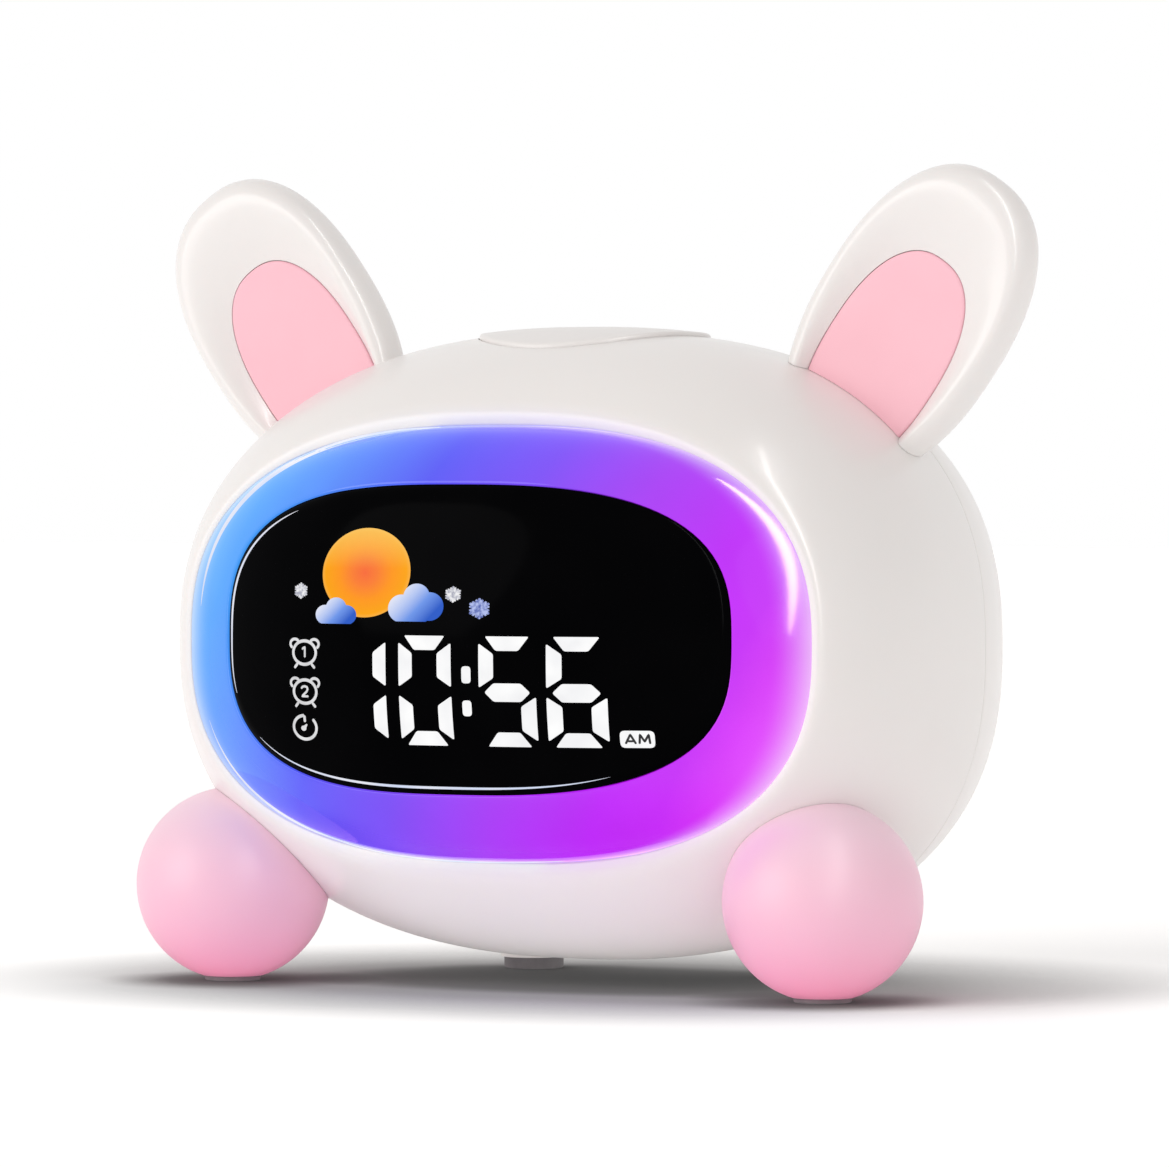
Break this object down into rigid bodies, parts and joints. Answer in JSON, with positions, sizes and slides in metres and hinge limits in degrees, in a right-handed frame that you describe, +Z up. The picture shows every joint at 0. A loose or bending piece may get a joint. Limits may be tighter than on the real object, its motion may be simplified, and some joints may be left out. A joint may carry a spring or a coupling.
{
  "type": "kids alarm clock with night light",
  "caption": "Rabbit-shaped children's alarm clock: pebble body, glowing ring round a dark digital window, two ears, ball feet, push button on top, keys, speaker and charging socket behind.",
  "frame": {"origin": "on the desk, under the middle of the clock's outline", "axes": "+X to the viewer's right when facing the display, the display faces -Y, +Z up"},
  "size_m": [0.159, 0.0989, 0.1329],
  "materials": {
    "white_shell": "satin moulded ABS",
    "white_cap": "satin moulded ABS",
    "milky_diffuser": "polished milky polycarbonate, lit from behind",
    "black_window": "polished smoked acrylic",
    "pink_insert": "matt moulded ABS",
    "pink_foot": "satin moulded ABS",
    "pad_rubber": "matt silicone rubber",
    "light_box_white": "matt white ABS",
    "board_green": "solder mask on glass-fibre board",
    "led_white": "moulded LED package",
    "display_black": "black display case",
    "chip_black": "moulded chip",
    "foam_tape": "foam tape",
    "battery_wrap": "shrink wrap",
    "switch_black": "moulded switch",
    "socket_steel": "drawn steel shell",
    "speaker_black": "paper cone and steel basket",
    "screw_steel": "zinc-plated steel"
  },
  "bodies": {
    "case": {"front_shell": "white_shell", "rear_cover": "white_shell", "left_ear": "white_shell", "right_ear": "white_shell", "light_ring": "milky_diffuser", "display_window": "black_window", "left_ear_insert": "pink_insert", "right_ear_insert": "pink_insert", "left_foot": "pink_foot", "right_foot": "pink_foot", "left_foot_pad": "pad_rubber", "right_foot_pad": "pad_rubber", "left_rear_pad": "pad_rubber", "right_rear_pad": "pad_rubber", "light_box": "light_box_white", "display_board": "board_green", "crown_board": "board_green", "key_board": "board_green", "ring_leds": "led_white", "digit_display": "display_black", "board_chips": "chip_black", "battery_tape": "foam_tape", "battery_pack": "battery_wrap", "crown_switch": "switch_black", "key_switches": "switch_black", "usb_socket": "socket_steel", "speaker": "speaker_black", "cover_screws": "screw_steel", "board_screws": "screw_steel", "key_board_screws": "screw_steel", "crown_board_screws": "screw_steel", "ear_screws": "screw_steel", "foot_screws": "screw_steel"},
    "top_button": {"top_button": "white_cap"},
    "light_key": {"light_key": "white_cap"},
    "alarm_key": {"alarm_key": "white_cap"},
    "down_key": {"down_key": "white_cap"},
    "up_key": {"up_key": "white_cap"},
    "set_key": {"set_key": "white_cap"}
  },
  "joints": [
    {"name": "top_button_press", "type": "slide", "parent": "case", "child": "top_button", "axis": [0, 0, -1], "range_m": [0, 0.0006], "stiffness_N_per_m": 1200},
    {"name": "light_key_press", "type": "slide", "parent": "case", "child": "light_key", "axis": [0, -1, 0], "range_m": [0, 0.0008], "stiffness_N_per_m": 800},
    {"name": "alarm_key_press", "type": "slide", "parent": "case", "child": "alarm_key", "axis": [0, -1, 0], "range_m": [0, 0.0008], "stiffness_N_per_m": 800},
    {"name": "down_key_press", "type": "slide", "parent": "case", "child": "down_key", "axis": [0, -1, 0], "range_m": [0, 0.0008], "stiffness_N_per_m": 800},
    {"name": "up_key_press", "type": "slide", "parent": "case", "child": "up_key", "axis": [0, -1, 0], "range_m": [0, 0.0008], "stiffness_N_per_m": 800},
    {"name": "set_key_press", "type": "slide", "parent": "case", "child": "set_key", "axis": [0, -1, 0], "range_m": [0, 0.0008], "stiffness_N_per_m": 800}
  ]
}
